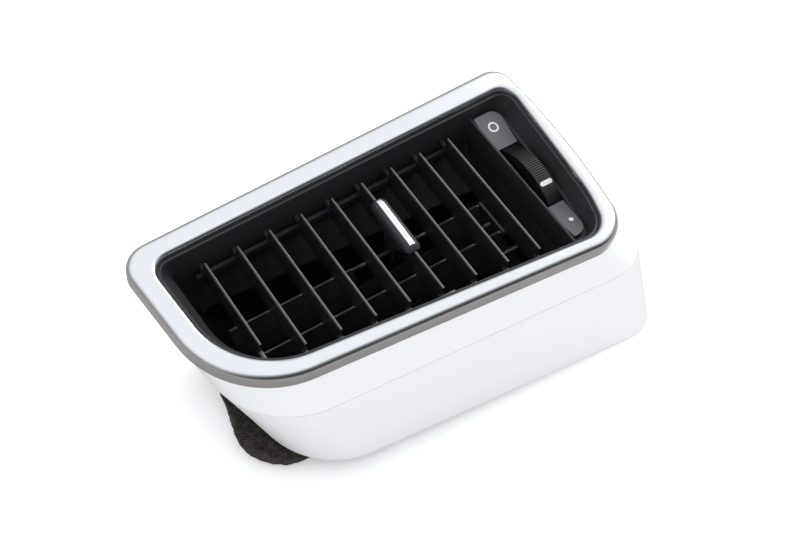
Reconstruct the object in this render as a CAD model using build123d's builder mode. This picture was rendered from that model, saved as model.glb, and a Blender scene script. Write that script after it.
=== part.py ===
from build123d import *
from math import atan2, cos, degrees, radians, sin, sqrt
import os

# B-pillar air vent, lying on its back as it rests on a table.
# Face coordinates: x runs along the row of front vanes, y runs up the vanes, and z points
# out of the face, from the front edge of the first vane. Outlines are drawn clockwise.

# Where the face stands over the table
face_tilt = 9.3
face_place = (-64.94, -0.09, 62.64)

# Vane rows
vane_pitch = 13.0
front_vanes = 9
vane_depth = 11.0
vane_thickness = 1.5
vane_edge = 0.6
vane_pivot_depth = 5.5
vane_crank = 4.0
vane_end_gap = 3.3
vane_foot_gap = 2.1
tab_vane = 6
rear_pitch = 13.7
rear_top = -0.9
rear_vanes = 2
rear_reach = 10.0
rear_tail = 3.6
rear_thickness = 1.6
rear_crank = 9.0
rear_rest_angle = 33.0
rear_clear = 2.8
rear_pivot_depth = vane_depth + rear_clear + rear_reach * cos(radians(rear_rest_angle))
rear_left = -2.3
rear_right = 103.5
pin_radius = 1.1
crank_pin_radius = 0.9
crank_bar_radius = 0.88
running_gap = 0.08
link_gap = 0.4
link_thickness = 1.5
link_width = 3.0

# Walls, levels and gaps
wall = 1.8
shroud_wall = 2.4
part_gap = 0.15
seam_gap = 0.3
ring_crest = 8.2
ring_foot = 2.2
ring_overhang = 0.8
ring_outer_round = 2.6
ring_inner_round = 2.0
lip_height = 5.6
lip_wall = 1.0
flange_thickness = 1.6
mouth_level = -1.5
frame_back = -12.0
shelf_thickness = 2.0
partition_thickness = 1.2
seam_level = -14.0
tongue_length = 3.0
rim_level = -51.1
rim_slant = 0.02

# The partition stands one pitch past the last vane
partition_line = front_vanes * vane_pitch
chamber_right = partition_line - partition_thickness / 2
pocket_left = chamber_right + partition_thickness
right = partition_line

# Outlines: corners and the radius at each corner
ring_outer = (
    [(-27.2, 37.1), (right + 20.7, 43.3), (right + 22.1, -1.2), (right + 15.5, -44.7), (-21.9, -31.0)],
    [10.3, 8.0, 280.0, 15.5, 36.0],
)
ring_inner = (
    [(-18.2, 28.9), (right + 17.5, 33.4), (right + 13.1, -22.1), (right + 8.3, -38.3), (-14.6, -24.1)],
    [6.6, 6.0, 60.0, 10.0, 30.0],
)
mouth = (
    [(-11.9, 27.4), (right + 12.9, 31.7), (right + 10.8, -10.0), (right + 7.0, -34.0), (-10.3, -20.2)],
    [1.5, 3.5, 60.0, 5.0, 26.0],
)
seam = (
    [(-17.5, 36.0), (right + 26.5, 42.0), (right + 29.0, -2.0), (right + 35.5, -49.5), (-18.0, -36.6)],
    [10.0, 6.0, 200.0, 20.0, 33.0],
)
rim = (
    [(-13.0, 34.0), (right + 33.0, 40.0), (right + 36.5, -5.0), (right + 40.5, -58.8), (3.3, -43.7)],
    [10.0, 7.0, 200.0, 14.0, 32.0],
)
pocket = (
    [(pocket_left, 30.3), (right + 11.9, 30.6), (right + 9.4, -12.0), (right + 7.2, -32.5), (pocket_left, -32.0)],
    [0.6, 4.5, 60.0, 6.0, 0.4],
)
rear_box = (
    [(-4.5, 19.5), (right - 7.0, 14.0), (right - 7.0, -31.5), (-4.5, -29.5)],
    [3.0, 3.0, 3.0, 24.0],
)
neck = (
    [(6.0, 15.0), (98.0, 15.0), (98.0, -19.0), (6.0, -19.0)],
    [6.0, 6.0, 6.0, 10.0],
)
rear_box_front = -19.5
rear_box_back = -rear_pivot_depth - 4.8
neck_top = rear_box_back - 11.0

# Slider tab
tab_centre = 3.8
tab_length = 26.0
tab_width = 6.4
tab_nose = 3.2
tab_crest = 4.3
insert_width = 2.3
insert_length = 20.5
insert_depth = 0.9
insert_proud = 0.25
notch_width = 34.0
notch_bottom = 1.5
fork_gap = 0.5
fork_prong = 1.3
fork_end = rear_pivot_depth - 4.2

# Thumbwheel, damper and their gears
wheel_radius = 23.0
wheel_crest = 2.7
wheel_centre = (-0.3, wheel_crest - wheel_radius)
wheel_left = right + 2.8
wheel_width = 6.2
wheel_gap = 0.35
wheel_axle = 2.0
rib_pitch = 2.4
rib_depth = 0.5
mark_angle = 19.5
mark_width = 1.8
mark_length = 5.2
mark_depth = 1.4
gear_module = 1.0
wheel_teeth = 28
damper_teeth = 20
gear_width = 3.0
damper_offset = -1.7
damper_rest_angle = 19.6
damper_thickness = 2.0
damper_shaft = 2.0
damper_edge_gap = 0.5
damper_lip = 1.0
plate_dish = 120.0
plate_middle = -3.6
plate_thickness = 1.3
plate_strip = 0.8

# Foam, screws and fixing ears
foam_width = 12.0
foam_height = 6.6
foam_gap = 0.2
screw_places = [(10.0, 31.4), (96.0, 34.6), (96.0, -36.4), (60.0, -35.2)]
ear_radius = 2.7
screw_radius = 1.1
screw_head = 2.3
ear_holes = (-25.24, 54.76)
ear_line = -32.69
ear_reach = 6.0
ear_level = 8.0
ear_thickness = 2.5
ear_width = 13.0
ear_hole_radius = 2.6

face = Plane(origin=face_place, x_dir=(1, 0, 0), z_dir=Vector(0, 0, 1).rotate(Axis.X, face_tilt))


def at(level):
    """Plane parallel to the face; its x and y are the face's own."""
    return face.offset(level)


def across(x, centre=(0, 0), turn=0.0):
    """Plane square to the row at x; its x runs up the vanes and its y points out of the face."""
    up = face.y_dir * cos(radians(turn)) + face.z_dir * sin(radians(turn))
    return Plane(origin=face.from_local_coords((x, *centre)), x_dir=up, z_dir=face.x_dir)


def along(y):
    """Plane square to the vanes at y; its x runs along the row and its y is depth behind the face."""
    return Plane(origin=face.from_local_coords((0, y, 0)), x_dir=face.x_dir, z_dir=face.y_dir)


def rim_plane():
    """Plane of the shroud's rear rim, a little further back on the right."""
    return Plane(
        origin=face.from_local_coords((0, 0, rim_level)),
        x_dir=face.x_dir - face.z_dir * rim_slant,
        z_dir=face.z_dir + face.x_dir * rim_slant,
    )


def inset(shape, amount):
    """The same outline moved inward by an amount, or outward where it is negative."""
    corners, radii = shape
    moved = []
    for before, here, after in zip(corners[-1:] + corners[:-1], corners, corners[1:] + corners[:1]):
        first = (Vector(*here) - Vector(*before)).normalized()
        second = (Vector(*after) - Vector(*here)).normalized()
        first_normal = Vector(first.Y, -first.X)
        second_normal = Vector(second.Y, -second.X)
        push = (first_normal + second_normal) * (amount / (1 + first_normal.dot(second_normal)))
        moved.append((here[0] + push.X, here[1] + push.Y))
    return moved, [max(radius - amount, 0.3) for radius in radii]


def between(first, second, share):
    """The outline part way from one outline to another."""
    corners = [
        tuple(a + (b - a) * share for a, b in zip(p, q)) for p, q in zip(first[0], second[0])
    ]
    radii = [a + (b - a) * share for a, b in zip(first[1], second[1])]
    return corners, radii


def outline(shape, mode=Mode.ADD):
    """Draw one rounded outline as a face of the open sketch."""
    corners, radii = shape
    with BuildLine() as path:
        FilletPolyline(*corners, radius=radii, close=True)
    make_face(path.edges(), mode=mode)


def edge_at(first, second, x):
    """Height at x of the straight line through two corners."""
    return first[1] + (second[1] - first[1]) * (x - first[0]) / (second[0] - first[0])


def finish(piece, name):
    """Label one piece and write it."""
    piece.label = name
    export_step(piece, f"parts/{name}.step")


def vane_x(number):
    """Where a front vane stands along the row, counted from 1."""
    return (number - 1) * vane_pitch


def rear_y(number):
    """Where a rear vane stands, counted from the top."""
    return rear_top - (number - 1) * rear_pitch


def mouth_top(x):
    """Height of the chamber's top wall."""
    return edge_at(mouth[0][0], mouth[0][1], x)


def mouth_bottom(x):
    """Height of the chamber's bottom wall, round its large corner."""
    straight = edge_at(mouth[0][4], mouth[0][3], x)
    radius = mouth[1][4]
    centre_x = mouth[0][4][0] + radius
    if x >= centre_x:
        return straight
    centre_y = edge_at(mouth[0][4], mouth[0][3], centre_x) + radius
    reach = max(radius**2 - (centre_x - x) ** 2, 0.0)
    return max(centre_y - sqrt(reach), straight)


def vane_top(x):
    return mouth_top(x) - vane_end_gap


def vane_foot(x):
    """Lower end of a front vane, clear of the wall where the vane's edges swing."""
    swing = (vane_depth - vane_pivot_depth) * sin(radians(35))
    return mouth_bottom(x - swing) + vane_foot_gap


def chamber():
    """Outline of the front vanes' chamber, from the mouth's left side to the partition."""
    corners = [
        mouth[0][0],
        (chamber_right, mouth_top(chamber_right)),
        (chamber_right, edge_at(mouth[0][4], mouth[0][3], chamber_right)),
        mouth[0][4],
    ]
    return corners, [mouth[1][0], 0.8, 0.8, mouth[1][4]]


def trim_ring():
    with BuildPart() as ring:
        with BuildSketch(at(ring_foot)):
            outline(ring_outer)
        extrude(amount=ring_crest - ring_foot)
        with BuildSketch(at(ring_foot)):
            outline(ring_inner)
        extrude(amount=ring_crest - ring_foot, mode=Mode.SUBTRACT)
        top = ring.faces().sort_by(Axis(face.origin, face.z_dir))[-1]
        fillet(top.outer_wire().edges(), ring_outer_round)
        top = ring.faces().filter_by(GeomType.PLANE).sort_by(Axis(face.origin, face.z_dir))[-1]
        fillet(top.inner_wires()[0].edges(), ring_inner_round)
    finish(ring.part, "trim_ring")


def upper_shroud():
    top_shape = inset(ring_outer, ring_overhang)
    next_shape = between(seam, rim, tongue_length / (seam_level - rim_level))
    half = shroud_wall / 2
    flange_top = ring_foot - flange_thickness
    with BuildPart() as shroud:
        with BuildSketch(at(ring_foot)):
            outline(top_shape)
        with BuildSketch(at(seam_level)):
            outline(seam)
        loft(ruled=True)
        with BuildSketch(at(seam_level)):
            outline(inset(seam, half + part_gap))
        with BuildSketch(at(seam_level - tongue_length)):
            outline(inset(next_shape, half + part_gap))
        loft(ruled=True)
        with BuildSketch(at(ring_foot)):
            outline(inset(top_shape, shroud_wall))
        with BuildSketch(at(seam_level)):
            outline(inset(seam, shroud_wall))
        loft(ruled=True, mode=Mode.SUBTRACT)
        with BuildSketch(at(seam_level)):
            outline(inset(seam, shroud_wall))
        with BuildSketch(at(seam_level - tongue_length)):
            outline(inset(next_shape, shroud_wall))
        loft(ruled=True, mode=Mode.SUBTRACT)
        with BuildSketch(at(flange_top)):
            outline(inset(top_shape, shroud_wall / 2))
            outline(inset(ring_inner, -0.3), Mode.SUBTRACT)
        extrude(amount=-shelf_thickness)
    finish(shroud.part, "upper_shroud")


def lower_hollow():
    """Inside of the lower shroud, less the two fixing ears."""
    half = shroud_wall / 2
    next_shape = between(seam, rim, tongue_length / (seam_level - rim_level))
    with BuildPart() as hollow:
        with BuildSketch(at(seam_level)):
            outline(inset(seam, shroud_wall))
        with BuildSketch(rim_plane()):
            outline(inset(rim, shroud_wall))
        loft(ruled=True)
        with BuildSketch(at(seam_level)):
            outline(inset(seam, half))
        with BuildSketch(at(seam_level - tongue_length - part_gap)):
            outline(inset(next_shape, half))
        loft(ruled=True)
        with BuildSketch(Plane.XY.offset(ear_level)):
            for x in ear_holes:
                with Locations((x, ear_line + ear_reach)):
                    Rectangle(ear_width, 60, align=(Align.CENTER, Align.MAX))
        extrude(amount=ear_thickness, mode=Mode.SUBTRACT)
    return hollow.part


def lower_shroud():
    with BuildPart() as shroud:
        with BuildSketch(at(seam_level)):
            outline(seam)
        with BuildSketch(rim_plane()):
            outline(rim)
        loft(ruled=True)
        add(lower_hollow(), mode=Mode.SUBTRACT)
        with BuildSketch(at(seam_level)):
            Rectangle(500, 500)
        extrude(amount=-seam_gap, mode=Mode.SUBTRACT)
        with BuildSketch(Plane.XY.offset(ear_level)):
            for x in ear_holes:
                with Locations((x, ear_line)):
                    Circle(ear_hole_radius)
        extrude(amount=ear_thickness, mode=Mode.SUBTRACT)
    finish(shroud.part, "lower_shroud")


def frame_hollow():
    """The air's way through the front frame: funnel, vane chamber and wheel pocket."""
    with BuildPart() as hollow:
        with BuildSketch(at(lip_height)):
            outline(inset(ring_inner, part_gap + lip_wall))
        with BuildSketch(at(mouth_level)):
            outline(mouth)
        loft(ruled=True)
        with BuildSketch(at(mouth_level)):
            outline(chamber())
        extrude(amount=frame_back - mouth_level)
        with BuildSketch(at(mouth_level)):
            outline(pocket)
        extrude(amount=frame_back - mouth_level)
        with BuildSketch(along(-60)):
            with Locations((partition_line, partition_thickness / 2)):
                Circle(partition_thickness / 2)
                Rectangle(partition_thickness, -frame_back, align=(Align.CENTER, Align.MIN))
        extrude(amount=120, mode=Mode.SUBTRACT)
    return hollow.part


def frame_flange(gap):
    """Outline of the joint between front frame and duct housing, with its screw ears."""
    outline(inset(mouth, -wall))
    outline(inset(rear_box, -3.4))
    for place in screw_places:
        with Locations(place):
            Circle(ear_radius)
        inner = (place[0], place[1] * 0.82)
        with Locations(((place[0] + inner[0]) / 2, (place[1] + inner[1]) / 2)):
            Rectangle(2 * ear_radius, abs(place[1] - inner[1]))
    with Locations(*screw_places):
        Circle(screw_radius + gap, mode=Mode.SUBTRACT)


def front_frame():
    flange_bottom = ring_foot - flange_thickness
    throat_end = mouth_level - wall
    share = flange_thickness / (ring_foot - seam_level)
    shroud_inside = inset(between(inset(ring_outer, ring_overhang), seam, share), shroud_wall)
    with BuildPart() as frame:
        with BuildSketch(at(flange_bottom)):
            outline(inset(ring_inner, part_gap))
        extrude(amount=lip_height - flange_bottom)
        with BuildSketch(at(flange_bottom)):
            outline(inset(ring_outer, ring_overhang + shroud_wall + part_gap))
            outline(inset(shroud_inside, 2 * part_gap), Mode.INTERSECT)
        extrude(amount=flange_thickness)
        with BuildSketch(at(flange_bottom)):
            outline(inset(ring_inner, part_gap))
        with BuildSketch(at(throat_end)):
            outline(inset(mouth, -wall))
        loft(ruled=True)
        with BuildSketch(at(throat_end)):
            outline(inset(mouth, -wall))
        extrude(amount=frame_back - throat_end)
        with BuildSketch(at(frame_back)):
            frame_flange(0.05)
        extrude(amount=wall)
        add(frame_hollow(), mode=Mode.SUBTRACT)
        for number in range(1, front_vanes + 1):
            with BuildSketch(along(-60)):
                with Locations((vane_x(number), vane_pivot_depth)):
                    Circle(pin_radius + running_gap)
            extrude(amount=120, mode=Mode.SUBTRACT)
        with BuildSketch(across(wheel_left - wheel_gap, wheel_centre)):
            Circle(wheel_radius + 0.6)
        extrude(amount=wheel_width + 2 * wheel_gap, mode=Mode.SUBTRACT)
    finish(frame.part, "front_frame")


def control_plate():
    slot_left = pocket_left + part_gap + plate_strip
    with BuildPart() as plate:
        with BuildSketch(at(-9)):
            outline(inset(pocket, part_gap))
        extrude(amount=12)
        with BuildSketch(across(pocket_left - 5)):
            with Locations((0, plate_middle + plate_dish)):
                Circle(plate_dish + plate_thickness)
                Circle(plate_dish, mode=Mode.SUBTRACT)
        extrude(amount=30, mode=Mode.INTERSECT)
        with BuildSketch(across(slot_left, wheel_centre)):
            Circle(wheel_radius + wheel_gap)
        extrude(amount=30, mode=Mode.SUBTRACT)
    finish(plate.part, "control_plate")


def vane_profile(x, front, depth, thick, edge):
    """Long thin blade section with round edges, drawn in a plane square to the vanes."""
    with Locations((x, front + edge)):
        Circle(edge)
    with Locations((x, front + depth * 0.4)):
        Circle(thick / 2)
    with Locations((x, front + depth - edge * 0.8)):
        Circle(edge * 0.8)
    make_hull()


def front_vane(number):
    x = vane_x(number)
    top = vane_top(x)
    foot = vane_foot(x)
    pin_top = mouth_top(x) + wall - 0.3
    pin_foot = mouth_bottom(x) - wall + 0.3
    with BuildPart() as vane:
        with BuildSketch(along(foot)):
            vane_profile(x, 0, vane_depth, vane_thickness, vane_edge)
        extrude(amount=top - foot)
        for start, end in ((pin_foot, foot + 1), (top - 1, pin_top)):
            with BuildSketch(along(start)):
                with Locations((x, vane_pivot_depth)):
                    Circle(pin_radius)
            extrude(amount=end - start)
        with BuildSketch(along(top - 0.5)):
            with Locations((x, vane_pivot_depth + vane_crank)):
                Circle(crank_pin_radius)
        extrude(amount=0.5 + link_gap + link_thickness + 0.4)
    finish(vane.part, f"front_vane_{number}")


def front_link_bar():
    """Bar over the vanes' top ends, on their crank pins; it follows the slope of the top wall."""
    last = vane_x(front_vanes)
    depth = vane_pivot_depth + vane_crank
    start = vane_top(0) + link_gap
    end = vane_top(last) + link_gap
    slope = (end - start) / last
    low = start - 3 * slope
    high = end + 3 * slope
    corners = [(-3, low), (last + 3, high), (last + 3, high + link_thickness), (-3, low + link_thickness)]
    with BuildPart() as bar:
        with BuildSketch(at(-depth - link_width / 2)):
            Polygon(*corners, align=None)
        extrude(amount=link_width)
        for number in range(1, front_vanes + 1):
            with BuildSketch(along(start - 5)):
                with Locations((vane_x(number), depth)):
                    Circle(crank_pin_radius + running_gap)
            extrude(amount=20, mode=Mode.SUBTRACT)
    finish(bar.part, "front_link_bar")


def slider_tab():
    x = vane_x(tab_vane)
    low = tab_centre - tab_length / 2
    inner_half = vane_thickness / 2 + 0.12
    cheek = 1.1
    bar_y = crank_place(1)[0]
    bar_half = crank_bar_radius + fork_gap
    with BuildPart() as tab:
        with BuildSketch(along(low)):
            with BuildLine():
                Polyline(
                    (x - tab_nose / 2, -tab_crest),
                    (x + tab_nose / 2, -tab_crest),
                    (x + tab_width / 2, 1.5),
                    (x + tab_width / 2 - 0.8, 5.0),
                    (x + inner_half + cheek, 8.0),
                    (x - inner_half - cheek, 8.0),
                    (x - tab_width / 2 + 0.8, 5.0),
                    (x - tab_width / 2, 1.5),
                    close=True,
                )
            make_face()
        extrude(amount=tab_length)
        with BuildSketch(across(x - tab_width)):
            with BuildLine():
                ThreePointArc(
                    (low, 0.6),
                    (tab_centre + 2.0, tab_crest),
                    (low + tab_length, 2.4),
                )
                Line((low + tab_length, 2.4), (low + tab_length, 0.5))
                ThreePointArc(
                    (low + tab_length, 0.5),
                    (tab_centre, -9.0),
                    (low, -0.5),
                )
                Line((low, -0.5), (low, 0.6))
            make_face()
        extrude(amount=2 * tab_width, mode=Mode.INTERSECT)
        with BuildSketch(across(x - inner_half - cheek)):
            with Locations((bar_y, -8.7)):
                Rectangle(7.0, 6.0)
            for side in (-1, 1):
                with Locations((bar_y + side * (bar_half + fork_prong / 2), -fork_end)):
                    Rectangle(fork_prong, fork_end - 10, align=(Align.CENTER, Align.MIN))
        extrude(amount=2 * (inner_half + cheek))
        with BuildSketch(along(low - 5)):
            with Locations((x, -0.12)):
                Rectangle(2 * inner_half, vane_depth + 0.5, align=(Align.CENTER, Align.MIN))
        extrude(amount=tab_length + 10, mode=Mode.SUBTRACT)
        add(tab_strip(part_gap / 3), mode=Mode.SUBTRACT)
    finish(tab.part, "slider_tab")


def tab_strip(extra):
    """The bright strip's solid, grown by a small gap where it cuts its own seat."""
    x = vane_x(tab_vane)
    low = tab_centre - insert_length / 2 + 0.3
    high = low + insert_length
    with BuildPart() as strip:
        with BuildSketch(across(x - insert_width / 2 - extra)):
            with BuildLine():
                ThreePointArc(
                    (low - extra, 1.9 + insert_proud),
                    (tab_centre + 2.0, tab_crest + insert_proud),
                    (high + extra, 3.2 + insert_proud),
                )
                Line((high + extra, 3.2 + insert_proud), (high + extra, 2.4 - insert_depth - extra))
                ThreePointArc(
                    (high + extra, 2.4 - insert_depth - extra),
                    (tab_centre + 2.0, tab_crest - insert_depth - extra),
                    (low - extra, 1.1 - insert_depth - extra),
                )
                Line((low - extra, 1.1 - insert_depth - extra), (low - extra, 1.9 + insert_proud))
            make_face()
        extrude(amount=insert_width + 2 * extra)
    return strip.part


def tab_insert():
    finish(tab_strip(0.0), "tab_insert")


def crank_place(number):
    """Where a rear vane's crank pin stands, up the vanes and out of the face."""
    turn = radians(rear_rest_angle)
    return (rear_y(number) + rear_crank * sin(turn), rear_crank * cos(turn) - rear_pivot_depth)


def box_left(height):
    """Inner left face of the box at a height, round its large lower corner."""
    corner = rear_box[0][3]
    radius = rear_box[1][3]
    drop = corner[1] + radius - height
    if drop <= 0:
        return corner[0]
    return corner[0] + radius - sqrt(max(radius**2 - drop**2, 0.0))


def rear_vane(number):
    y = rear_y(number)
    start = max(rear_left, box_left(y - 6.5) + 1.2)
    pin_start = box_left(y) - wall + 0.3
    pin_end = rear_box[0][1][0] + wall - 0.3
    pivot = (y, -rear_pivot_depth)
    with BuildPart() as vane:
        with BuildSketch(across(start, pivot, -rear_rest_angle)):
            for reach, radius in ((rear_reach - 0.6, 0.6), (3.0, rear_thickness / 2), (0.5 - rear_tail, 0.5)):
                with Locations((0, reach)):
                    Circle(radius)
            make_hull()
        extrude(amount=rear_right - start)
        if number == 1:
            notch_left = vane_x(tab_vane) - notch_width / 2
            with BuildSketch(across(notch_left, pivot, -rear_rest_angle)):
                with Locations((0, notch_bottom)):
                    Rectangle(4, rear_reach, align=(Align.CENTER, Align.MIN))
            extrude(amount=notch_width, mode=Mode.SUBTRACT)
            with BuildSketch(across(notch_left - 1, crank_place(number))):
                Circle(crank_bar_radius)
            extrude(amount=notch_width + 2)
        for pin, end in ((pin_start, start + 1), (rear_right - 1, pin_end)):
            with BuildSketch(across(pin, pivot)):
                Circle(pin_radius)
            extrude(amount=end - pin)
        with BuildSketch(across(rear_right - 1, crank_place(number))):
            Circle(crank_pin_radius)
        extrude(amount=1 + link_gap + link_thickness + 0.4)
    finish(vane.part, f"rear_vane_{number}")


def rear_link_bar():
    first = crank_place(1)
    last = crank_place(rear_vanes)
    with BuildPart() as bar:
        with BuildSketch(across(rear_right + link_gap, ((first[0] + last[0]) / 2, first[1]))):
            SlotCenterToCenter(first[0] - last[0], link_width + 0.2)
            for number in range(1, rear_vanes + 1):
                with Locations((crank_place(number)[0] - (first[0] + last[0]) / 2, 0)):
                    Circle(crank_pin_radius + running_gap, mode=Mode.SUBTRACT)
        extrude(amount=link_thickness)
    finish(bar.part, "rear_link_bar")


def damper_axis():
    """The damper's axis, one gear centre distance behind the wheel's."""
    distance = gear_module * (wheel_teeth + damper_teeth) / 2
    return (wheel_centre[0] + damper_offset, wheel_centre[1] - sqrt(distance**2 - damper_offset**2))


def gear_outline(teeth, turn):
    """Spur gear with straight-sided teeth, the first one centred on the angle given."""
    pitch_radius = gear_module * teeth / 2
    tip = pitch_radius + 0.85 * gear_module
    root = pitch_radius - 1.2 * gear_module
    half_pitch = 0.25 * 360 / teeth * 0.86
    half_tip = half_pitch * 0.5
    half_root = half_pitch * 1.65
    points = []
    for tooth in range(teeth):
        middle = turn + tooth * 360 / teeth
        for radius, angle in (
            (root, -half_root),
            (tip, -half_tip),
            (tip, half_tip),
            (root, half_root),
        ):
            bearing = radians(middle + angle)
            points.append((radius * cos(bearing), radius * sin(bearing)))
    with BuildLine() as path:
        Polyline(*points, close=True)
    make_face(path.edges())


def mesh_angle():
    """Direction from the wheel's centre to the damper's, in the plane across the row."""
    centre = damper_axis()
    return degrees(atan2(centre[1] - wheel_centre[1], centre[0] - wheel_centre[0]))


def thumbwheel():
    start = 30.0
    sweep = 152.0
    ribs = int(sweep / rib_pitch)
    with BuildPart() as wheel:
        with BuildSketch(across(wheel_left)):
            with Locations(wheel_centre):
                Circle(gear_module * wheel_teeth / 2 - 2.0)
        extrude(amount=wheel_width)
        with BuildSketch(across(wheel_left, wheel_centre)):
            gear_outline(wheel_teeth, mesh_angle())
        extrude(amount=gear_width)
        with BuildSketch(across(wheel_left, wheel_centre)):
            wheel_sector(start, sweep, ribs)
        extrude(amount=wheel_width)
        with BuildSketch(across(chamber_right + 0.2)):
            with Locations(wheel_centre):
                Circle(wheel_axle)
        extrude(amount=wheel_left + wheel_width - chamber_right + wall + 1.4)
        add(mark_block(), mode=Mode.SUBTRACT)
    finish(wheel.part, "thumbwheel")


def wheel_sector(start, sweep, ribs):
    """The ribbed part of the rim with its web, as a slice of a disc."""
    with BuildLine() as path:
        edge = CenterArc((0, 0), wheel_radius, start, sweep)
        Line((0, 0), edge @ 0)
        Line(edge @ 1, (0, 0))
    make_face(path.edges())
    with PolarLocations(wheel_radius, ribs, start + rib_pitch / 2, sweep - rib_pitch):
        Rectangle(2 * rib_depth, wheel_radius * radians(rib_pitch) * 0.45, mode=Mode.SUBTRACT)


def mark_block():
    """The white mark's solid: a slot shape set into the rim."""
    middle = across(wheel_left + wheel_width / 2, wheel_centre, mark_angle)
    rim_side = Plane(origin=middle.origin, x_dir=middle.z_dir, z_dir=middle.y_dir)
    with BuildPart() as block:
        with BuildSketch(rim_side.offset(wheel_radius - mark_depth)):
            SlotOverall(mark_length, mark_width)
        extrude(amount=mark_depth + 0.1)
    return block.part


def wheel_mark():
    finish(mark_block(), "wheel_mark")


def damper_plane():
    """Plane of the flap at rest, through its axis; its x runs along the row."""
    centre = damper_axis()
    turn = radians(damper_rest_angle)
    across_flap = face.z_dir * cos(turn) - face.y_dir * sin(turn)
    origin = face.from_local_coords((0, *centre))
    return Plane(origin=origin, x_dir=face.x_dir, z_dir=face.x_dir.cross(across_flap))


def damper_shape():
    """The neck's outline as the flap sees it once it is turned shut."""
    middle = damper_axis()[0]
    corners = [(x, middle - y) for x, y in neck[0]]
    return corners[::-1], neck[1][::-1]


def damper_flap():
    shaft_start = neck[0][0][0] - wall + 0.3
    shaft_end = wheel_left + gear_width + 0.8
    with BuildPart() as flap:
        with BuildSketch(damper_plane()):
            outline(inset(damper_shape(), damper_edge_gap + damper_lip))
        extrude(amount=damper_thickness / 2, both=True)
        with BuildSketch(across(shaft_start, damper_axis())):
            Circle(damper_shaft)
        extrude(amount=shaft_end - shaft_start)
    finish(flap.part, "damper_flap")


def damper_seal():
    with BuildPart() as seal:
        with BuildSketch(damper_plane()):
            outline(inset(damper_shape(), damper_edge_gap))
            outline(inset(damper_shape(), damper_edge_gap + damper_lip), Mode.SUBTRACT)
        extrude(amount=damper_thickness * 0.3, both=True)
        with BuildSketch(across(neck[0][0][0], damper_axis())):
            Circle(damper_shaft)
        extrude(amount=neck[0][1][0] - neck[0][0][0], mode=Mode.SUBTRACT)
    finish(seal.part, "damper_seal")


def damper_gear():
    half_tooth = 180 / damper_teeth
    with BuildPart() as gear:
        with BuildSketch(across(wheel_left, damper_axis())):
            gear_outline(damper_teeth, mesh_angle() + 180 + half_tooth)
            Circle(damper_shaft, mode=Mode.SUBTRACT)
        extrude(amount=gear_width)
    finish(gear.part, "damper_gear")


def duct_housing():
    joint_level = frame_back - 0.1
    shelf_back = joint_level - shelf_thickness
    centre = damper_axis()
    bracket_top = shelf_back
    with BuildPart() as housing:
        with BuildSketch(at(joint_level)):
            frame_flange(0.2)
        extrude(amount=-shelf_thickness)
        with BuildSketch(at(joint_level)):
            outline(inset(chamber(), -wall))
        with BuildSketch(at(rear_box_front)):
            outline(inset(rear_box, -wall))
        loft(ruled=True)
        with BuildSketch(at(rear_box_front)):
            outline(inset(rear_box, -wall))
        extrude(amount=rear_box_back - rear_box_front)
        with BuildSketch(at(rear_box_back)):
            outline(inset(rear_box, -wall))
        with BuildSketch(at(neck_top)):
            outline(inset(neck, -wall))
        loft(ruled=True)
        with BuildSketch(at(neck_top)):
            outline(inset(neck, -wall))
        extrude(amount=-60)
        with BuildSketch(at(joint_level)):
            outline(chamber())
        with BuildSketch(at(rear_box_front)):
            outline(rear_box)
        loft(ruled=True, mode=Mode.SUBTRACT)
        with BuildSketch(at(rear_box_front)):
            outline(rear_box)
        extrude(amount=rear_box_back - rear_box_front, mode=Mode.SUBTRACT)
        with BuildSketch(at(rear_box_back)):
            outline(rear_box)
        with BuildSketch(at(neck_top)):
            outline(neck)
        loft(ruled=True, mode=Mode.SUBTRACT)
        with BuildSketch(at(neck_top)):
            outline(neck)
        extrude(amount=-60, mode=Mode.SUBTRACT)
        with BuildSketch(at(joint_level)):
            with Locations((wheel_left - 0.6, wheel_centre[0])):
                Rectangle(wheel_width + 1.2, 2 * wheel_radius + 1, align=(Align.MIN, Align.CENTER))
        extrude(amount=-shelf_thickness, mode=Mode.SUBTRACT)
        with BuildSketch(across(chamber_right)):
            with BuildLine():
                Polyline(
                    (wheel_centre[0] - 14, bracket_top),
                    (wheel_centre[0] + 14, bracket_top),
                    (wheel_centre[0] + 12, centre[1] + 8),
                    (centre[0] + 6, centre[1] - 6),
                    (centre[0] - 6, centre[1] - 6),
                    (wheel_centre[0] - 14, centre[1] + 8),
                    close=True,
                )
            make_face()
        extrude(amount=wall)
        with BuildSketch(across(wheel_left + wheel_width + 0.5)):
            with BuildLine():
                Polyline(
                    (wheel_centre[0] - 8, bracket_top),
                    (wheel_centre[0] + 8, bracket_top),
                    (wheel_centre[0] + 5, wheel_centre[1] - 5),
                    (wheel_centre[0] - 5, wheel_centre[1] - 5),
                    close=True,
                )
            make_face()
        extrude(amount=wall)
        with BuildSketch(across(chamber_right - 1)):
            with Locations(wheel_centre):
                Circle(wheel_axle + running_gap)
            with Locations(centre):
                Circle(damper_shaft + running_gap)
        extrude(amount=20, mode=Mode.SUBTRACT)
        with BuildSketch(across(neck[0][0][0] - 5)):
            with Locations(centre):
                Circle(damper_shaft + running_gap)
        extrude(amount=120, mode=Mode.SUBTRACT)
        for number in range(1, rear_vanes + 1):
            with BuildSketch(across(rear_box[0][0][0] - 5)):
                with Locations((rear_y(number), -rear_pivot_depth)):
                    Circle(pin_radius + running_gap)
            extrude(amount=rear_box[0][1][0] - rear_box[0][0][0] + 10, mode=Mode.SUBTRACT)
        split(bisect_by=Plane.XY, keep=Keep.TOP)
    finish(housing.part, "duct_housing")


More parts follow.
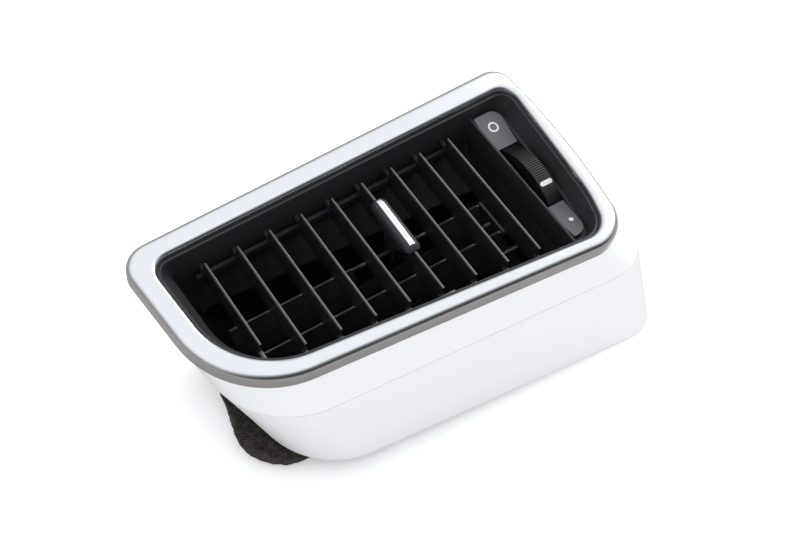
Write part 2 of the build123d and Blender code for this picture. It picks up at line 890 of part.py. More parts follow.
def foam_seal():
    with BuildPart() as foam:
        with BuildSketch(at(-40)):
            outline(inset(neck, -wall - foam_gap - foam_width))
            outline(inset(neck, -wall - foam_gap), Mode.SUBTRACT)
        extrude(amount=-40)
        split(bisect_by=Plane.XY, keep=Keep.TOP)
        split(bisect_by=Plane.XY.offset(foam_height), keep=Keep.BOTTOM)
    finish(foam.part, "foam_seal")


def housing_screws():
    head_level = frame_back - 0.1 - shelf_thickness
    with BuildPart() as screws:
        with BuildSketch(at(head_level)):
            with Locations(*screw_places):
                Circle(screw_head)
        extrude(amount=-1.6)
        with BuildSketch(at(head_level)):
            with Locations(*screw_places):
                Circle(screw_radius)
        extrude(amount=shelf_thickness + wall + 1.5)
    finish(screws.part, "housing_screws")


def main():
    os.makedirs("parts", exist_ok=True)
    trim_ring()
    upper_shroud()
    lower_shroud()
    front_frame()
    control_plate()
    for number in range(1, front_vanes + 1):
        front_vane(number)
    front_link_bar()
    slider_tab()
    tab_insert()
    for number in range(1, rear_vanes + 1):
        rear_vane(number)
    rear_link_bar()
    thumbwheel()
    wheel_mark()
    damper_flap()
    damper_seal()
    damper_gear()
    duct_housing()
    foam_seal()
    housing_screws()


main()
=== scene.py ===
# %% [markdown]
# # B-pillar air vent: looks
#
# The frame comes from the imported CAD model: a bright trim ring round a black funnel, nine upright
# vanes with a slider tab on the sixth, two crosswise rear vanes, a thumbwheel in a grey plate, a pale
# two-part shroud and a foam seal round the inlet. This script gives each of them its real surface,
# rebuilds the tab and the foam, adds the printed marks, and sets up the floor, the light and the camera.
#
# Everything is in metres. The `MM` constant turns the sizes below, in millimetres, into metres.

# %% Load the frame
from math import atan, cos, degrees, pi, radians, sin, sqrt

import bmesh
import bpy
from mathutils import Matrix, Vector, noise


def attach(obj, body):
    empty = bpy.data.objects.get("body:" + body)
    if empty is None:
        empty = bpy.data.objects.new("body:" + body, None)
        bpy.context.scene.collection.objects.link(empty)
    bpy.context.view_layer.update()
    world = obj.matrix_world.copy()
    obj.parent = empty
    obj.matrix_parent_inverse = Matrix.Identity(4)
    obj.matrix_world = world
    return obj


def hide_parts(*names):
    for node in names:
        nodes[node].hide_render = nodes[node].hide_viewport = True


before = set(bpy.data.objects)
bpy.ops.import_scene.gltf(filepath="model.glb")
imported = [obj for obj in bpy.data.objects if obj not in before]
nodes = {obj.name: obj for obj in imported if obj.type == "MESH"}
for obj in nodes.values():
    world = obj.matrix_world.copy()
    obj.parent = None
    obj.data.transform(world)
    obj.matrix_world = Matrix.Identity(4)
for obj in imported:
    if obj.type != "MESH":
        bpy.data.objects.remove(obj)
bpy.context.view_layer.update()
MM = 0.001

# %% [markdown]
# ## Colours and shader nodes
#
# Colours are written as sRGB hex, as a colour picker gives them, and made linear in one place, because
# the renderer adds light in linear values. `add_node` makes any shader node, sets its inputs, and links
# whatever is passed as a socket.

# %% Helpers for colours, nodes and materials
def linear(hex_colour):
    channels = [int(hex_colour[i:i + 2], 16) / 255 for i in (1, 3, 5)]
    return [c / 12.92 if c <= 0.04045 else ((c + 0.055) / 1.055) ** 2.4 for c in channels] + [1.0]


def add_node(tree, kind, inputs=None, **settings):
    node = tree.nodes.new(kind)
    for name, value in settings.items():
        setattr(node, name, value)
    for name, value in (inputs or {}).items():
        if isinstance(value, bpy.types.NodeSocket):
            tree.links.new(value, node.inputs[name])
        else:
            node.inputs[name].default_value = value
    return node


def mixed_colour(tree, factor, first, second):
    """A socket with `first` where `factor` is 0 and `second` where it is 1."""
    mix = add_node(tree, "ShaderNodeMix", {0: factor}, data_type="RGBA")
    # A mix node set to colour has its two colours in inputs 6 and 7 and the result in output 2.
    mix.inputs[6].default_value = linear(first)
    mix.inputs[7].default_value = linear(second)
    return mix.outputs[2]


def new_material(name, hex_colour, roughness, **inputs):
    """A principled material with its constants on its own sockets. Returns material, tree, shader."""
    material = bpy.data.materials.new(name)
    material.use_nodes = True
    tree = material.node_tree
    shader = tree.nodes["Principled BSDF"]
    shader.inputs["Base Color"].default_value = linear(hex_colour)
    shader.inputs["Roughness"].default_value = roughness
    for key, value in inputs.items():
        shader.inputs[key.replace("_", " ")].default_value = value
    return material, tree, shader


# %% [markdown]
# ## Patterns in real millimetres
#
# Moulded plastic is never quite even: the tool leaves a fine grain, handling polishes some patches, and
# dust settles on it. Each pattern reads Object coordinates, which are metres on the object, so that its
# scale can be worked out from a real size.

# %% Helpers for grain, uneven gloss and dust
def per_mm(size):
    """Noise scale, in cycles per metre, for a pattern whose features are `size` mm across."""
    return 1 / (size * MM)


def grain(tree, shader, size, height, detail=3.0):
    """Fine moulded texture: a noise bump with features `size` mm across and `height` mm high."""
    place = add_node(tree, "ShaderNodeTexCoord").outputs["Object"]
    texture = add_node(tree, "ShaderNodeTexNoise", {"Vector": place, "Scale": per_mm(size), "Detail": detail})
    bump = add_node(tree, "ShaderNodeBump", {"Height": texture.outputs["Fac"], "Strength": 1.0,
                                             "Distance": height * MM})
    tree.links.new(bump.outputs["Normal"], shader.inputs["Normal"])
    return place


def uneven_roughness(tree, shader, place, size, low, high):
    """Roughness that wanders between two values over patches `size` mm across."""
    texture = add_node(tree, "ShaderNodeTexNoise", {"Vector": place, "Scale": per_mm(size), "Detail": 4.0})
    spread = add_node(tree, "ShaderNodeMapRange", {"Value": texture.outputs["Fac"], "From Min": 0.3,
                                                   "From Max": 0.7, "To Min": low, "To Max": high})
    tree.links.new(spread.outputs["Result"], shader.inputs["Roughness"])


CLEAN_CELLS = 0.55


def dust(tree, shader, place, base, speck, cell, size):
    """Sparse pale specks, one in some of the cells `cell` mm wide, each about `size` mm across."""
    cells = add_node(tree, "ShaderNodeTexVoronoi", {"Vector": place, "Scale": per_mm(cell)})
    chosen = add_node(tree, "ShaderNodeMath", {0: cells.outputs["Color"], 1: CLEAN_CELLS},
                      operation="GREATER_THAN")
    near = add_node(tree, "ShaderNodeMath", {0: cells.outputs["Distance"], 1: size / cell / 2},
                    operation="LESS_THAN")
    both = add_node(tree, "ShaderNodeMath", {0: chosen.outputs[0], 1: near.outputs[0]}, operation="MULTIPLY")
    tree.links.new(mixed_colour(tree, both.outputs[0], base, speck), shader.inputs["Base Color"])


# %% [markdown]
# ## Bright and pale finishes
#
# The ring is plastic with a satin chrome plating: it mirrors the room, softened by a slight haze. The
# strip in the tab is the same plating polished, so it is nearly a clear mirror. The shroud is moulded and
# painted near-white, with a thin clear coat. The marks and the wheel's pointer are pad print, a thick matt
# ink.

# %% Chrome, paint and print
# Satin chrome plating: cool silver, hazy mirror.
satin_chrome, tree, shader = new_material("satin_chrome", "#DADDE1", 0.2, Metallic=1.0)
place = grain(tree, shader, 0.5, 0.0015)
uneven_roughness(tree, shader, place, 18, 0.17, 0.24)

# Polished chrome plating: clear mirror with hard edges to its reflections.
bright_chrome, tree, shader = new_material("bright_chrome_strip", "#E4E5E8", 0.1, Metallic=1.0)
place = grain(tree, shader, 0.6, 0.0006)
uneven_roughness(tree, shader, place, 6, 0.08, 0.14)

# Sprayed paint: a faint orange peel, about 1.4 mm across, under a soft gloss.
shell_paint, tree, shader = new_material("near_white_paint", "#F6F7F8", 0.3, Coat_Weight=0.35,
                                         Coat_Roughness=0.16, Specular_IOR_Level=0.5)
place = grain(tree, shader, 1.4, 0.002, 2.0)
uneven_roughness(tree, shader, place, 25, 0.27, 0.36)

# Pad print: matt ink with a slightly toothed surface.
print_white, tree, shader = new_material("white_pad_print", "#E8E9EA", 0.45)
place = grain(tree, shader, 0.15, 0.004)
uneven_roughness(tree, shader, place, 1.5, 0.4, 0.55)
print("bright and pale:", [m.name for m in (satin_chrome, bright_chrome, shell_paint, print_white)])

# %% [markdown]
# ## Black and grey plastics
#
# The face parts are ABS moulded in fine-grained tools, satin and not quite black. The duct behind is a
# filled polypropylene, duller, and coloured a deeper black than the plastic as painted shade, so it drops
# into shadow. The vanes have a slight sheen, and their thin front edges catch the light.

# %% The moulded parts
FRAME_BLACK = "#29292D"
VANE_BLACK = "#1A1B1F"
PLATE_GREY = "#605F66"
DUST = "#8E8E92"

# Grained ABS of the funnel, the tab and the link bars: soft, wide highlights.
frame_black, tree, shader = new_material("black_abs_satin", FRAME_BLACK, 0.48, Specular_IOR_Level=0.5)
place = grain(tree, shader, 0.3, 0.01)
uneven_roughness(tree, shader, place, 12, 0.42, 0.54)
dust(tree, shader, place, FRAME_BLACK, DUST, 7, 0.25)

# Talc-filled polypropylene of the duct, near black as painted shade of the dark inside: nearly no gloss.
duct_black_painted_shade, tree, shader = new_material("black_talc_filled_pp_painted_shade", "#060607", 0.6, Specular_IOR_Level=0.3)
place = grain(tree, shader, 0.35, 0.012)
uneven_roughness(tree, shader, place, 15, 0.55, 0.68)

# ABS of the vanes: a bluish black whose edges shine.
vane_black, tree, shader = new_material("black_abs_vane", VANE_BLACK, 0.4, Specular_IOR_Level=0.6,
                                        Coat_Weight=1.0, Coat_Roughness=0.35)
place = grain(tree, shader, 0.25, 0.004)
uneven_roughness(tree, shader, place, 9, 0.35, 0.46)
dust(tree, shader, place, VANE_BLACK, DUST, 9, 0.22)

# Grey ABS of the control plate: an even satin.
plate_grey, tree, shader = new_material("dark_grey_abs_plate", PLATE_GREY, 0.42, Specular_IOR_Level=0.5)
place = grain(tree, shader, 0.25, 0.008)
uneven_roughness(tree, shader, place, 8, 0.38, 0.48)
dust(tree, shader, place, PLATE_GREY, "#A6A6A8", 8, 0.22)

# ABS of the thumbwheel: its ribs are rubbed a little shinier than the rest.
wheel_black, tree, shader = new_material("black_abs_wheel", "#0B0C0D", 0.33, Specular_IOR_Level=0.6)
place = grain(tree, shader, 0.2, 0.006)
uneven_roughness(tree, shader, place, 4, 0.28, 0.42)
print("plastics:", [m.name for m in (frame_black, duct_black_painted_shade, vane_black, plate_grey, wheel_black)])

# %% [markdown]
# ## Hidden metal and gear, and the foam
#
# The pinion on the damper's shaft is natural acetal, a milky, slightly waxy plastic. The screws are steel
# with zinc plating. The seal is an open-cell foam: dark brown, matt and fuzzy, so it swallows the light.
# Its pores are cells of a Voronoi pattern, roughened by a broader noise that also tints it. One bump of
# both costs far less than pores made as a mesh, and it gives the same look at this distance.

# %% Acetal, zinc and foam
PORE = 0.7
FUZZ = 2.2
PORE_DEPTH = 0.9

# Unfilled acetal: light goes a little way into it before it comes back.
acetal, tree, shader = new_material("natural_acetal", "#D8D6CE", 0.4, Subsurface_Weight=0.05)
place = grain(tree, shader, 0.4, 0.004)
uneven_roughness(tree, shader, place, 5, 0.35, 0.45)

# Zinc plating: a dull metal with patches that are more or less bright.
zinc, tree, shader = new_material("zinc_plated_steel", "#8C8F93", 0.35, Metallic=1.0)
place = grain(tree, shader, 0.2, 0.004)
uneven_roughness(tree, shader, place, 1.5, 0.3, 0.5)

# Open-cell foam: nearly no gloss, and a slight sheen from its loose fibres at the edges.
foam, tree, shader = new_material("open_cell_foam", "#2C2622", 0.95, Specular_IOR_Level=0.15,
                                  Sheen_Weight=0.12, Sheen_Roughness=0.6)
place = add_node(tree, "ShaderNodeTexCoord").outputs["Object"]
pores = add_node(tree, "ShaderNodeTexVoronoi", {"Vector": place, "Scale": per_mm(PORE)}, feature="F1")
fuzz = add_node(tree, "ShaderNodeTexNoise", {"Vector": place, "Scale": per_mm(FUZZ), "Detail": 8.0})
rough = add_node(tree, "ShaderNodeMath", {0: pores.outputs["Distance"], 1: fuzz.outputs["Fac"]},
                 operation="ADD")
bump = add_node(tree, "ShaderNodeBump", {"Height": rough.outputs[0], "Strength": 1.0,
                                         "Distance": PORE_DEPTH * MM})
tree.links.new(bump.outputs["Normal"], shader.inputs["Normal"])
tone = add_node(tree, "ShaderNodeValToRGB", {"Fac": fuzz.outputs["Fac"]})
tone.color_ramp.elements[0].position = 0.35
tone.color_ramp.elements[0].color = linear("#0C0A08")
tone.color_ramp.elements[1].position = 0.7
tone.color_ramp.elements[1].color = linear("#41372F")
tree.links.new(tone.outputs["Color"], shader.inputs["Base Color"])
print("hidden parts and foam:", [m.name for m in (acetal, zinc, foam)])

# %% [markdown]
# ## Dress the CAD nodes
#
# Each node keeps its CAD shape and gets its material by name. What isn't listed is a vane, or one of
# the black parts of the face.

# %% Give every node its material
LOOKS = {
    "trim_ring": satin_chrome, "tab_insert": bright_chrome, "upper_shroud": shell_paint,
    "lower_shroud": shell_paint, "control_plate": plate_grey, "thumbwheel": wheel_black,
    "wheel_mark": print_white, "foam_seal": foam, "damper_seal": foam, "damper_gear": acetal,
    "housing_screws": zinc, "duct_housing": duct_black_painted_shade,
}

for name, obj in nodes.items():
    obj.data.materials.clear()
    obj.data.materials.append(LOOKS.get(name, vane_black if "vane" in name else frame_black))
print("materials in use:", sorted({obj.active_material.name for obj in nodes.values()}))

# %% [markdown]
# ## The face's own axes
#
# The vent lies on its back, and its face leans 9.3 degrees. The new pieces belong to the face, so they are
# built in its axes, in millimetres: x along the row of vanes, y up the vanes, and z out of the face, with
# z = 0 at the vanes' front edges. `FACE` then takes them to the frame that the CAD uses.

# %% Place and finish a new piece
FACE_TILT = radians(9.3)
FACE_ORIGIN = Vector((-64.94, -0.09, 62.64)) * MM
FACE = Matrix.Translation(FACE_ORIGIN) @ Matrix.Rotation(FACE_TILT, 4, "X")


def new_object(name, shape, material, body):
    """Turn a finished bmesh into an object with `material` that rides on `body`."""
    mesh = bpy.data.meshes.new(name)
    shape.to_mesh(mesh)
    shape.free()
    obj = bpy.data.objects.new(name, mesh)
    bpy.context.scene.collection.objects.link(obj)
    mesh.materials.append(material)
    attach(obj, body)
    return obj


def pushed_section(section, low, high, steps, capped=True):
    """A closed section of (x, z) points, drawn at y = low and pushed to y = high in even steps."""
    shape = bmesh.new()
    corners = [shape.verts.new((x, low, z)) for x, z in section]
    # Each edge runs from its second corner back to its first, which settles how the quads are split.
    ring = [shape.edges.new(pair) for pair in zip(corners[1:] + corners[:1], corners)]
    first = ring
    for step in range(steps):
        made = bmesh.ops.extrude_edge_only(shape, edges=ring)["geom"]
        moved = {part for part in made if isinstance(part, bmesh.types.BMVert)}
        bmesh.ops.translate(shape, verts=list(moved), vec=(0, (high - low) / steps, 0))
        ring = [part for part in made
                if isinstance(part, bmesh.types.BMEdge) and moved.issuperset(part.verts)]
    if capped:
        bmesh.ops.edgeloop_fill(shape, edges=first)
        bmesh.ops.edgeloop_fill(shape, edges=ring)
    return shape


print("face leans", round(degrees(FACE_TILT), 1), "degrees")

# %% [markdown]
# ## Printed marks
#
# A ring marks the wheel's closed end and a dot its open end. Both are thin prints on the plate, which is
# dished to a radius of 120 mm. A print's section is spun round, and each point is then dropped on that
# curve, half of the section under the surface and half above it.

# %% The ring and the dot on the plate
PLATE_RADIUS = 120
PLATE_MIDDLE = -3.6
PRINT_HALF = 0.05
PRINT_STEPS = 48
CLOSED_PLACE = (122.9, 24.2)
OPEN_PLACE = (122.2, -24.6)


def plate_height(y):
    return PLATE_MIDDLE + PLATE_RADIUS - sqrt(PLATE_RADIUS**2 - y * y)


def print_mark(name, centre, outer, inner):
    """A printed ring, or a dot where `inner` is 0, round `centre` on the plate."""
    shape = bmesh.new()
    section = ((inner, -PRINT_HALF), (outer, -PRINT_HALF), (outer, PRINT_HALF), (inner, PRINT_HALF))
    corners = [shape.verts.new((x, 0, z)) for x, z in section]
    edges = [shape.edges.new(pair) for pair in zip(corners, corners[1:] + corners[:1])]
    bmesh.ops.spin(shape, geom=corners + edges, cent=(0, 0, 0), axis=(0, 0, 1), angle=2 * pi,
                   steps=PRINT_STEPS, use_merge=True)
    bmesh.ops.remove_doubles(shape, verts=shape.verts[:], dist=0.001)
    for vert in shape.verts:
        vert.co.x += centre[0]
        vert.co.y += centre[1]
        vert.co.z += plate_height(vert.co.y)
        vert.co = FACE @ (vert.co * MM)
    bmesh.ops.recalc_face_normals(shape, faces=shape.faces[:])
    return new_object(name, shape, print_white, "case")


closed_mark = print_mark("closed_mark", CLOSED_PLACE, 2.1, 1.4)
open_mark = print_mark("open_mark", OPEN_PLACE, 0.9, 0)
print("marks:", closed_mark.name, open_mark.name)

# %% [markdown]
# ## Slider tab
#
# The real grip is a low black saddle on the sixth vane: a nearly straight crest that sinks at both ends,
# soft shoulders with fine ribs across them, and a bright strip let in along the top. One section with the
# slot for the vane in it is pushed along the vane, and then each of its points finds its height from the
# lines below. That keeps the ends round without a cut.

# %% Lines that the saddle follows
TAB_X = 65.0
TAB_LOW, TAB_HIGH = -7.9, 16.7
STRIP_LOW, STRIP_HIGH = -6.1, 16.3
STRIP_HALF = 1.15
STRIP_GAP = 0.1
GROOVE_DEPTH = 0.35
SLOT_HALF = 0.87
SLOT_TOP = 0.12
SHOULDER = -0.3
RIB_DEPTH = 0.07
CREST_LOW, CREST_RISE = 1.6, 0.8
END_DROP, END_LENGTH = 1.1, 2.8
NARROWING, NARROW_LENGTH = 0.3, 2.4
CHEEK_LEAST, CHEEK_CURVE = 0.08, 2.2


def end_share(y, length):
    """0 in the middle of the tab, and up to 1 over the last `length` mm before each end."""
    return max(0.0, 1 - min(y - TAB_LOW, TAB_HIGH - y) / length) ** 2


def crest(y):
    """Height of the tab's top line over the vanes' front edges, at `y` along the vane."""
    along = (y - TAB_LOW) / (TAB_HIGH - TAB_LOW)
    return CREST_LOW + CREST_RISE * along - END_DROP * end_share(y, END_LENGTH)


def cheek(y):
    """Share of the full depth that the cheeks beside the vane have at `y`."""
    middle = (TAB_LOW + TAB_HIGH) / 2
    return max(CHEEK_LEAST, 1 - (abs(y - middle) / (TAB_HIGH - middle)) ** CHEEK_CURVE)


def along_vane(name, section, low, high, steps, material, height):
    """Push a section along the vane, draw its ends in, and lift each point to height(x, y, z, step)."""
    shape = pushed_section(section, low, high, steps)
    for vert in shape.verts:
        x, y, z = vert.co
        step = round((y - low) / (high - low) * steps)
        narrow = 1 - NARROWING * end_share(y, NARROW_LENGTH) if abs(x) > STRIP_HALF else 1
        vert.co = FACE @ (Vector((TAB_X + x * narrow, y, height(x, y, z, step))) * MM)
    bmesh.ops.recalc_face_normals(shape, faces=shape.faces[:])
    return new_object(name, shape, material, "tab")


print("crest in mm at the ends and the middle:", [round(crest(y), 2) for y in (TAB_LOW, 4.4, TAB_HIGH)])

# %% The saddle
# In its section, a height from 0 to 1 is a share of the way from shoulder to crest, a negative one is
# millimetres under the shoulder, and IN_SLOT marks the top of the slot.
IN_SLOT = 2.0
SADDLE_STEPS = 62
RIGHT_SIDE = [(STRIP_HALF - 0.05, 1.0), (STRIP_HALF, 1.0), (1.7, 0.96), (2.3, 0.82), (2.75, 0.58),
              (3.05, 0.28), (3.2, 0.0), (3.1, -1.5), (2.4, -4.7), (1.97, -7.7), (SLOT_HALF, -7.7),
              (SLOT_HALF, IN_SLOT)]


def saddle_height(x, y, z, step):
    if z == IN_SLOT:
        return SLOT_TOP
    if abs(x) < STRIP_HALF - 0.01 and z > 0:
        return crest(y) - (GROOVE_DEPTH if STRIP_LOW < y < STRIP_HIGH else 0.0)
    if z < 0:
        return SHOULDER + z * cheek(y)
    rib = RIB_DEPTH if step % 2 and abs(x) > STRIP_HALF + 0.2 else 0.0
    return SHOULDER + (crest(y) - SHOULDER) * z - rib


saddle = along_vane("tab_saddle", RIGHT_SIDE + [(-x, z) for x, z in reversed(RIGHT_SIDE)], TAB_LOW, TAB_HIGH,
                    SADDLE_STEPS, frame_black, saddle_height)
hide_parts("slider_tab")
print("saddle faces:", len(saddle.data.polygons))

# %% [markdown]
# On the real tab the strip is a part of its own, pressed into a groove. Here the saddle's points dip
# by the groove's depth over the strip's length, and the strip is a second section pushed along the same
# crest, so the two can't drift apart. Its chamfered edges catch the thin lines of light.

# %% The bright strip in its groove
STRIP_STEPS = 40
STRIP_SECTION = [(-1.05, -0.32), (1.05, -0.32), (1.05, 0.08), (0.8, 0.2), (-0.8, 0.2), (-1.05, 0.08)]
strip = along_vane("tab_strip", STRIP_SECTION, STRIP_LOW + STRIP_GAP, STRIP_HIGH - STRIP_GAP, STRIP_STEPS,
                   bright_chrome, lambda x, y, z, step: crest(y) + z)
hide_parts("tab_insert")
print("strip faces:", len(strip.data.polygons))

# %% [markdown]
# The tab also aims the rear vanes. Behind the saddle, a cheek passes the vane on each side, and each
# ends in two prongs that hold the crank bar of the first rear vane. They stand where the CAD has them, and
# as only glimpses of them show between the vanes, they are plain bars with their edges bevelled.

# %% The fork
BAR_Y = 4.0
PRONG_OFF = 2.03
CHEEK_OFF = 1.42
CHEEK_THICK = 1.1
FORK_BARS = [(BAR_Y, 7.0, -11.7, -5.8), (BAR_Y - PRONG_OFF, 1.3, -18.0, -10.0),
             (BAR_Y + PRONG_OFF, 1.3, -18.0, -10.0)]

bars = bmesh.new()
for side in (-1, 1):
    for middle, wide, low, high in FORK_BARS:
        made = bmesh.ops.create_cube(bars, size=1.0)["verts"]
        bmesh.ops.scale(bars, verts=made, vec=(CHEEK_THICK, wide, high - low))
        bmesh.ops.translate(bars, verts=made, vec=(TAB_X + side * CHEEK_OFF, middle, (low + high) / 2))
bmesh.ops.bevel(bars, geom=bars.edges[:], offset=0.15, affect="EDGES", segments=2, profile=0.5, material=-1)
bars.transform(Matrix.Scale(MM, 4))
bars.transform(FACE)
fork = new_object("tab_fork", bars, frame_black, "tab")
print("fork faces:", len(fork.data.polygons))

# %% [markdown]
# ## Foam seal
#
# The foam is a soft band glued round the inlet neck, and it squashes where it meets the table. Its outline
# is the neck's own, pushed out, and its section is nearly a square with round corners. The section is
# pushed along a straight line, which is then wrapped round the neck. A smooth noise makes the band uneven,
# and a finer one gives its open surface. A cloth simulation would only swell it evenly.

# %% The path round the neck
NECK = [(6.0, 15.0), (98.0, 15.0), (98.0, -19.0), (6.0, -19.0)]
NECK_RADII = [6.0, 6.0, 6.0, 10.0]
NECK_DEPTH = -58
INSIDE = 2.05
PATH_SPACING = 1.0


def rounded(corners, radii, grow, steps=10):
    """Points and outward directions round a rounded outline that is grown outward by `grow`."""
    points = []
    centre = sum((Vector(c) for c in corners), Vector((0, 0))) / len(corners)
    for index, corner in enumerate(corners):
        corner = Vector(corner)
        before = (corner - Vector(corners[index - 1])).normalized()
        after = (Vector(corners[(index + 1) % len(corners)]) - corner).normalized()
        out_before = Vector((-before.y, before.x))
        out_after = Vector((-after.y, after.x))
        if out_before.dot(corner - centre) < 0:
            out_before, out_after = -out_before, -out_after
        middle = corner - (out_before + out_after) * radii[index]
        sweep = out_before.angle_signed(out_after)
        for step in range(steps + 1):
            turn = -sweep * step / steps
            direction = Vector((out_before.x * cos(turn) - out_before.y * sin(turn),
                                out_before.x * sin(turn) + out_before.y * cos(turn)))
            points.append((middle + direction * (radii[index] + grow), direction))
    return points


def resample(points, spacing):
    """Evenly spaced points and directions along a closed outline."""
    result = []
    for (a, da), (b, db) in zip(points, points[1:] + points[:1]):
        count = max(1, round((b - a).length / spacing))
        result += [(a.lerp(b, k / count), da.lerp(db, k / count).normalized()) for k in range(count)]
    return result


path = resample(rounded(NECK, NECK_RADII, INSIDE), PATH_SPACING)
print("stations round the neck:", len(path))

# %% The band's section and width
FOAM_WIDTH = 11.7
FOAM_HEIGHT = 6.5
CORNER_BULGE = 5.7
LEFT_EXTRA, LEFT_LEAST = 2.5, -3.0
LEFT_FROM, LEFT_SLOPE = -12.5, 0.225
SECTION_POINTS = 28
SQUARENESS = 0.42


def squared(value):
    return abs(value) ** SQUARENESS * (1 if value > 0 else -1)


def foam_section():
    turns = [2 * pi * step / SECTION_POINTS for step in range(SECTION_POINTS)]
    return [(FOAM_WIDTH * (0.5 + 0.5 * squared(cos(turn))), FOAM_HEIGHT * (0.5 + 0.5 * squared(sin(turn))))
            for turn in turns]


def foam_width(place, out):
    """The photographed foam bulges at its lower left corner and is narrower higher up on the left."""
    corner = 2 * max(0.0, -out.x) * max(0.0, -out.y)
    left = max(0.0, -out.x) ** 2 * (1 - corner)
    extra = max(LEFT_LEAST, LEFT_EXTRA - LEFT_SLOPE * (place.y - LEFT_FROM))
    return FOAM_WIDTH + CORNER_BULGE * corner + left * extra


print("section of the foam:", len(foam_section()), "points")

# %% Wrap, roughen and seat the band
FLOOR_GAP = 0.02
WAVES = ((0.11, 0.5), (0.35, 0.35), (1.1, 0.45))  # cycles per mm, and height in mm
SUNK = 0.35

band = pushed_section(foam_section(), 0, len(path), len(path), capped=False)
for vert in band.verts:
    point, out = path[round(vert.co.y) % len(path)]
    spread = vert.co.x * foam_width(point, out) / FOAM_WIDTH
    base = FACE @ Vector((*((point + out * spread) * MM), NECK_DEPTH * MM))
    vert.co = (base.x, base.y, vert.co.z * MM)
bmesh.ops.remove_doubles(band, verts=band.verts[:], dist=0.001 * MM)
bmesh.ops.recalc_face_normals(band, faces=band.faces[:])
band.normal_update()
for vert in band.verts:
    spot = vert.co / MM
    wave = sum(noise.noise(spot * rate) * size for rate, size in WAVES)
    vert.co += vert.normal * (wave - SUNK) * MM
    vert.co.z = max(vert.co.z, FLOOR_GAP * MM)

foam_band = new_object("foam_band", band, foam, "case")
for polygon in foam_band.data.polygons:
    polygon.use_smooth = True
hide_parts("foam_seal")
print("foam faces:", len(foam_band.data.polygons))

# %% [markdown]
# ## Floor, light and camera
#
# The photograph was taken on a white table. The floor glows a little for the camera only, so that it looks
# white and still keeps the object's shadow, and mirrors see it greyer, which gives the ring's outer wall
# the dark line that the photograph shows.

# %% Floor
FLOOR_HALF = 3.0
FLOOR_WHITE = "#F7F7F8"
FLOOR_IN_MIRRORS = "#A39C98"
FLOOR_GLOW = 0.25

table = bmesh.new()
bmesh.ops.create_grid(table, x_segments=1, y_segments=1, size=FLOOR_HALF)
floor_mesh = bpy.data.meshes.new("floor")
table.to_mesh(floor_mesh)
table.free()
floor = bpy.data.objects.new("floor", floor_mesh)
bpy.context.scene.collection.objects.link(floor)
floor_white, tree, shader = new_material("white_table", FLOOR_WHITE, 0.6, Specular_IOR_Level=0.2)
grain(tree, shader, 3.0, 0.01)
ray = add_node(tree, "ShaderNodeLightPath")
shade = mixed_colour(tree, ray.outputs["Is Glossy Ray"], FLOOR_WHITE, FLOOR_IN_MIRRORS)
tree.links.new(shade, shader.inputs["Base Color"])
seen = add_node(tree, "ShaderNodeMath", {0: ray.outputs["Is Camera Ray"], 1: FLOOR_GLOW},
                operation="MULTIPLY")
shader.inputs["Emission Color"].default_value = linear("#FFFFFF")
tree.links.new(seen.outputs[0], shader.inputs["Emission Strength"])
floor_mesh.materials.append(floor_white)
print("floor:", 2 * FLOOR_HALF, "m wide")

# %% [markdown]
# The light is an even sky at a plain level, at which a colour renders about as it is written, and one
# large soft light at the right, low enough that the flat top of the ring doesn't mirror it. What is shiny
# sees a sky with a darker horizon and front instead, as it would in a room, because chrome under an even
# sky looks like grey paint.

# %% Soft light at the right
SOFTBOX_PLACE = (1.2, 0.35, 0.85)
SOFTBOX_AIM = (0, 0, 0.05)
SOFTBOX_SIDE = 0.8
SOFTBOX_WATTS = 10.0

softbox_data = bpy.data.lights.new("softbox_right", "AREA")
softbox_data.shape = "RECTANGLE"
softbox_data.size = SOFTBOX_SIDE
softbox_data.size_y = SOFTBOX_SIDE
softbox_data.energy = SOFTBOX_WATTS
softbox = bpy.data.objects.new("softbox_right", softbox_data)
softbox.location = SOFTBOX_PLACE
softbox.rotation_euler = (Vector(SOFTBOX_AIM) - Vector(SOFTBOX_PLACE)).to_track_quat("-Z", "Y").to_euler()
bpy.context.scene.collection.objects.link(softbox)
print("softbox:", SOFTBOX_WATTS, "W")

# %% Sky
EVEN_LIGHT = 1.04
MIRROR_HORIZON = 0.35
MIRROR_TOP = 1.25
MIRROR_FRONT = 0.12
RISE_FROM, RISE_TO = 0.15, 0.95  # heights between which the mirrored sky grows brighter
FRONT_FROM, FRONT_TO = -0.85, -0.25  # y directions between which it stops being dark

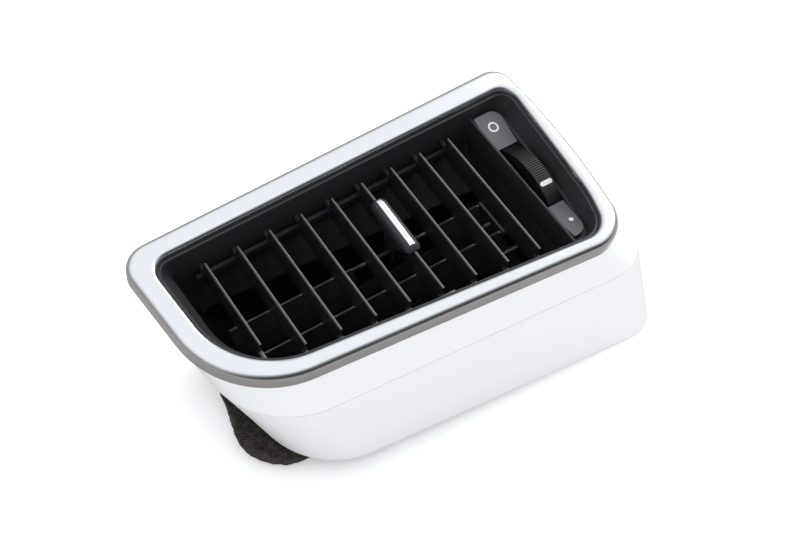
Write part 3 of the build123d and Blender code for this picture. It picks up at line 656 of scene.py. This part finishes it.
world = bpy.data.worlds.new("studio")
world.use_nodes = True
bpy.context.scene.world = world
sky = world.node_tree
aim = add_node(sky, "ShaderNodeSeparateXYZ",
               {"Vector": add_node(sky, "ShaderNodeTexCoord").outputs["Generated"]})
height = add_node(sky, "ShaderNodeMapRange", {"Value": aim.outputs["Z"], "From Min": RISE_FROM,
                                              "From Max": RISE_TO, "To Min": MIRROR_HORIZON,
                                              "To Max": MIRROR_TOP}, interpolation_type="SMOOTHSTEP")
front = add_node(sky, "ShaderNodeMapRange", {"Value": aim.outputs["Y"], "From Min": FRONT_FROM,
                                             "From Max": FRONT_TO, "To Min": MIRROR_FRONT,
                                             "To Max": 1.0}, interpolation_type="SMOOTHSTEP")
mirrored = add_node(sky, "ShaderNodeMath", {0: height.outputs["Result"], 1: front.outputs["Result"]},
                    operation="MULTIPLY")
sky_ray = add_node(sky, "ShaderNodeLightPath")
level = add_node(sky, "ShaderNodeMix", {"Factor": sky_ray.outputs["Is Glossy Ray"], "A": EVEN_LIGHT,
                                        "B": mirrored.outputs[0]}, data_type="FLOAT")
background = sky.nodes["Background"]
background.inputs["Color"].default_value = linear("#FAFBFD")
sky.links.new(level.outputs["Result"], background.inputs["Strength"])
print("sky:", EVEN_LIGHT, "for matt surfaces,", MIRROR_HORIZON, "to", MIRROR_TOP, "in mirrors")

# %% [markdown]
# The camera stands where the photograph's did. Its place, aim and focal length follow from the pitch of
# the vanes and the lines that they make in the picture.

# %% Camera
CAMERA_PLACE = Vector((-171.54, -250.49, 393.7)) * MM
CAMERA_AIM = Vector((0.3701, 0.5433, -0.7535))
FOCAL_PIXELS = 1279
PHOTO_WIDTH = 800
SENSOR_WIDTH = 36.0

camera_data = bpy.data.cameras.new("camera")
camera_data.sensor_fit = "HORIZONTAL"
camera_data.sensor_width = SENSOR_WIDTH
camera_data.lens = SENSOR_WIDTH * FOCAL_PIXELS / PHOTO_WIDTH
camera = bpy.data.objects.new("camera", camera_data)
camera.location = CAMERA_PLACE
camera.rotation_euler = CAMERA_AIM.to_track_quat("-Z", "Y").to_euler()
bpy.context.scene.collection.objects.link(camera)
bpy.context.scene.camera = camera
bpy.context.scene.view_settings.view_transform = "Standard"
bpy.context.scene.view_settings.look = "None"
print("horizontal field of view:", round(2 * degrees(atan(PHOTO_WIDTH / 2 / FOCAL_PIXELS)), 1), "degrees")
